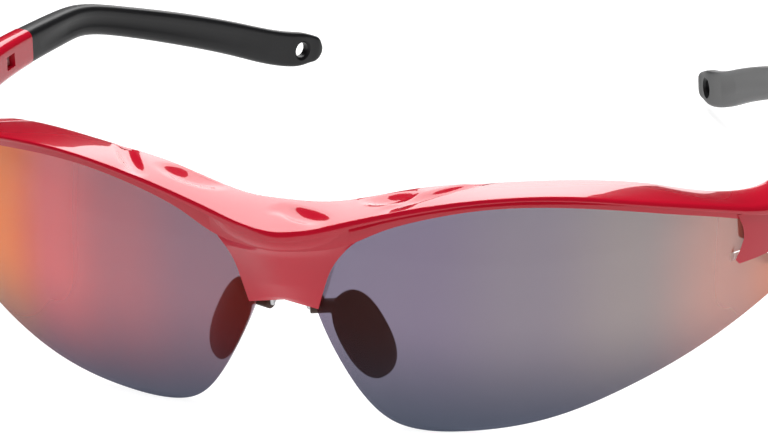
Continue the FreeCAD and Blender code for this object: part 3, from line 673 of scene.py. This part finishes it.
# %% Rubber
rubber, tree, shader = new_material("black_rubber", Base_Color=(0.010, 0.010, 0.011, 1), Roughness=0.36, IOR=1.28)
add_grain(tree, shader, 2500.0, 0.25, 0.00004)
soft, tree, shader = new_material("pad_rubber", Base_Color=(0.045, 0.020, 0.012, 1), Roughness=0.4, IOR=1.35)
add_grain(tree, shader, 2500.0, 0.2, 0.00004)
for name in SIDES:
    put(tips[name], rubber)
    put(pads[name], soft)

# %% Metal and core
steel, *_ = new_material("plain_steel", Base_Color=(0.5, 0.5, 0.51, 1), Metallic=1.0, Roughness=0.3)
brass, *_ = new_material("plain_brass", Base_Color=(0.8, 0.6, 0.25, 1), Metallic=1.0, Roughness=0.35)
core_metal, *_ = new_material("core_metal", Base_Color=(0.7, 0.7, 0.7, 1), Metallic=1.0, Roughness=0.4)
for name in SIDES:
    for node, material in (("nose_wire_", steel), ("hinge_screw_", steel), ("hinge_insert_", brass),
                           ("tip_core_", core_metal)):
        put(nodes[node + name], material)

# %% Mirror coating with a painted reflection
def ramp_of(tree, stops, source):
    """A smooth colour ramp over distance across in millimetres, fed by a coordinate in metres."""
    first, last = stops[0][0], stops[-1][0]
    scale, ramp = add(tree, "ShaderNodeMapRange"), add(tree, "ShaderNodeValToRGB")
    scale.inputs["From Min"].default_value, scale.inputs["From Max"].default_value = first * MM, last * MM
    ramp.color_ramp.interpolation = "EASE"
    while len(ramp.color_ramp.elements) < len(stops):
        ramp.color_ramp.elements.new(0.5)
    for element, (x, colour) in zip(ramp.color_ramp.elements, stops):
        element.position, element.color = (x - first) / (last - first), (*colour, 1)
    tree.links.new(source, scale.inputs["Value"])
    tree.links.new(scale.outputs["Result"], ramp.inputs["Fac"])
    return ramp.outputs["Color"]


def lens_material(name, stops):
    """stops give, by distance across, the coating's colour with a painted reflection in it, how much of it covers,
    and the tint of the lens.
    """
    material, tree, shader = new_material(name, Roughness=0.06, IOR=1.2)
    place, parts = add(tree, "ShaderNodeTexCoord"), add(tree, "ShaderNodeSeparateXYZ")
    tree.links.new(place.outputs["Object"], parts.inputs["Vector"])
    height = add(tree, "ShaderNodeMapRange", interpolation_type="SMOOTHSTEP")
    height.inputs["From Min"].default_value, height.inputs["From Max"].default_value = -0.002, 0.021
    tree.links.new(parts.outputs["Z"], height.inputs["Value"])

    def rising(low, column):
        """A colour that changes from low at the lower border to the stops' own colours higher up."""
        mix = add(tree, "ShaderNodeMix", data_type="RGBA")
        mix.inputs["A"].default_value = (*low, 1)
        tree.links.new(height.outputs["Result"], mix.inputs["Factor"])
        colours = ramp_of(tree, [(stop[0], stop[column]) for stop in stops], parts.outputs["X"])
        tree.links.new(colours, mix.inputs["B"])
        return mix.outputs["Result"]

    # The base colour is the coating's own colour plus a painted reflection of a big light, orange and yellow towards
    # the side.
    tree.links.new(rising(LOW_COAT, 1), shader.inputs["Base Color"])
    clear, blend = add(tree, "ShaderNodeBsdfTransparent"), add(tree, "ShaderNodeMixShader")
    tree.links.new(rising(LOW_TINT, 3), clear.inputs["Color"])
    tree.links.new(rising(LOW_COVER, 2), blend.inputs["Fac"])
    tree.links.new(clear.outputs["BSDF"], blend.inputs[1])
    tree.links.new(shader.outputs["BSDF"], blend.inputs[2])
    tree.links.new(blend.outputs["Shader"], tree.nodes["Material Output"].inputs["Surface"])
    return material


LOW_COAT, LOW_COVER, LOW_TINT = (0.015, 0.025, 0.04), (0.55, 0.55, 0.55), (0.53, 0.56, 0.66)
THIN, THICK = (0.5, 0.5, 0.5), (0.64, 0.64, 0.64)
# distance across, colour of the coating with a painted reflection of a big light, how much it covers, tint of the
# lens
RIGHT_COAT_AND_REFLECTION_STOPS = ((-60, (1.0, 0.85, 0.12), THICK, (0.82, 0.74, 0.44)),
               (-48, (1.0, 0.25, 0.06), THICK, (0.80, 0.70, 0.63)),
               (-38, (0.76, 0.06, 0.05), THIN, (0.80, 0.67, 0.70)),
               (-26, (0.41, 0.025, 0.02), THIN, (0.76, 0.68, 0.74)),
               (-14, (0.21, 0.015, 0.01), THIN, (0.74, 0.69, 0.78)),
               (-5, (0.19, 0.015, 0.01), THIN, (0.74, 0.69, 0.78)))
LEFT_COAT_AND_REFLECTION_STOPS = ((5, (0.05, 0.012, 0.01), THIN, (0.78, 0.75, 0.89)),
              (20, (0.05, 0.015, 0.012), THIN, (0.79, 0.75, 0.89)),
              (36, (0.09, 0.035, 0.03), THIN, (0.81, 0.80, 0.88)),
              (50, (0.19, 0.09, 0.07), THIN, (0.83, 0.84, 0.86)),
              (62, (0.57, 0.17, 0.12), THIN, (0.82, 0.80, 0.78)),
              (70, (0.88, 0.3, 0.16), THICK, (0.84, 0.74, 0.7)))
for name, stops in (("left", LEFT_COAT_AND_REFLECTION_STOPS), ("right", RIGHT_COAT_AND_REFLECTION_STOPS)):
    put(lenses[name], lens_material("mirror_coat_and_painted_reflection_" + name, stops))

# %% [markdown]
# ## Camera, floor and light
# The glasses stand on a white table that glows a little. A glowing cloth behind and above them, which the camera
# doesn't see, draws the pink reflection on top of the brow, and two soft lamps fill in from above and in front.

# %% Camera
FOCAL_LENGTH, SENSOR_WIDTH = 130.18, 36.0
CAMERA_PLACE = (117.362, -340.935, 204.151)
CAMERA_RIGHT, CAMERA_FORWARD = (0.96038, 0.27818, -0.0171), (-0.25861, 0.86656, -0.42684)


def set_camera():
    camera = bpy.data.objects.new("camera", bpy.data.cameras.new("camera"))
    bpy.context.scene.collection.objects.link(camera)
    bpy.context.scene.camera = camera
    camera.data.lens, camera.data.sensor_width = FOCAL_LENGTH, SENSOR_WIDTH
    right, forward = Vector(CAMERA_RIGHT), Vector(CAMERA_FORWARD)
    up = right.cross(forward)
    turn = Matrix((right, up, -forward)).transposed()
    camera.matrix_world = Matrix.Translation(Vector(CAMERA_PLACE + SHIFT) * MM) @ turn.to_4x4()
    camera.data.clip_start, camera.data.clip_end = 0.01, 20


set_camera()

# %% Floor, sky and the big lamp
FLOOR_RADIUS, FLOOR_BACK, FLOOR_Z, FLOOR_SIDES = 420, 180, -0.2, 96


def make_floor():
    turns = np.linspace(0, 2 * math.pi, FLOOR_SIDES + 1)[:-1]
    points = [(0, 0, FLOOR_Z)]
    points += [(FLOOR_RADIUS * math.cos(a), FLOOR_RADIUS * math.sin(a) + FLOOR_BACK, FLOOR_Z) for a in turns]
    faces = [(0, 1 + k, 1 + (k + 1) % FLOOR_SIDES) for k in range(FLOOR_SIDES)]
    floor = make_mesh("floor", points, faces, 60)
    table, _, shader = new_material("white_table", Base_Color=(0.3, 0.3, 0.3, 1), Roughness=0.9,
                                    Emission_Color=(1, 1, 1, 1), Emission_Strength=0.88)
    shader.inputs["Specular IOR Level"].default_value = 0.0
    put(floor, table)


def set_sky(strength, seen):
    world = bpy.data.worlds.new("studio")
    bpy.context.scene.world = world
    world.use_nodes = True
    tree = world.node_tree
    background = tree.nodes["Background"]
    background.inputs["Color"].default_value = (1, 1, 1, 1)
    path, mix = add(tree, "ShaderNodeLightPath"), add(tree, "ShaderNodeMix", data_type="FLOAT")
    mix.inputs["A"].default_value, mix.inputs["B"].default_value = strength, seen
    tree.links.new(path.outputs["Is Camera Ray"], mix.inputs["Factor"])
    tree.links.new(mix.outputs["Result"], background.inputs["Strength"])


# Rows of the cloth from its lower edge up, in metres; it glows from the first strength to the second
CLOTH_ROWS = (((-0.25, 0.60, 0.17), (-0.19, 0.60, 0.02), (-0.02, 0.60, -0.03)),
              ((-0.28, 0.58, 0.26), (-0.14, 0.60, 0.26), (-0.02, 0.60, 0.26)),
              ((-0.42, 0.45, 0.42), (-0.21, 0.52, 0.42), (0.0, 0.55, 0.42)),
              ((-0.34, 0.20, 0.78), (-0.17, 0.26, 0.78), (0.0, 0.30, 0.78)),
              ((-0.26, -0.16, 0.88), (-0.10, -0.12, 0.88), (0.06, -0.08, 0.88)))
CLOTH_GLOW, CLOTH_BRIGHTEST_AT = (1.5, 7.6), 0.78


def make_cloth():
    """A glowing cloth behind and above the piece, brighter towards its top and hidden from the camera."""
    points = np.array([point for row in CLOTH_ROWS for point in row]) * 1000
    faces = [(3 * r + c, 3 * r + c + 1, 3 * r + c + 4, 3 * r + c + 3) for r in range(4) for c in range(2)]
    cloth = make_mesh("lamp_cloth", points, faces)
    material, tree, shader = new_material("lamp_cloth", Base_Color=(0, 0, 0, 1), Emission_Color=(1, 1, 1, 1))
    shader.inputs["Specular IOR Level"].default_value = 0.0
    place, parts = add(tree, "ShaderNodeTexCoord"), add(tree, "ShaderNodeSeparateXYZ")
    grow = add(tree, "ShaderNodeMapRange")
    grow.inputs["From Min"].default_value, grow.inputs["From Max"].default_value = 0.0, CLOTH_BRIGHTEST_AT
    grow.inputs["To Min"].default_value, grow.inputs["To Max"].default_value = CLOTH_GLOW
    tree.links.new(place.outputs["Object"], parts.inputs["Vector"])
    tree.links.new(parts.outputs["Z"], grow.inputs["Value"])
    tree.links.new(grow.outputs["Result"], shader.inputs["Emission Strength"])
    put(cloth, material)
    cloth.visible_camera = False


def lamp(name, place, size, power):
    light = bpy.data.lights.new(name, "AREA")
    light.shape, light.size, light.energy = "SQUARE", size, power
    piece = bpy.data.objects.new(name, light)
    bpy.context.scene.collection.objects.link(piece)
    piece.location = place
    piece.rotation_euler = (-Vector(place)).to_track_quat("-Z", "Y").to_euler()
    piece.visible_glossy, piece.visible_camera = False, False


make_floor()
set_sky(0.004, 1.0)
bpy.context.scene.view_settings.view_transform = "Standard"
make_cloth()
lamp("top_fill", (0.1, -0.15, 0.9), 0.6, 6.0)
lamp("front_fill", (0.2, -0.9, 0.35), 0.6, 3.0)
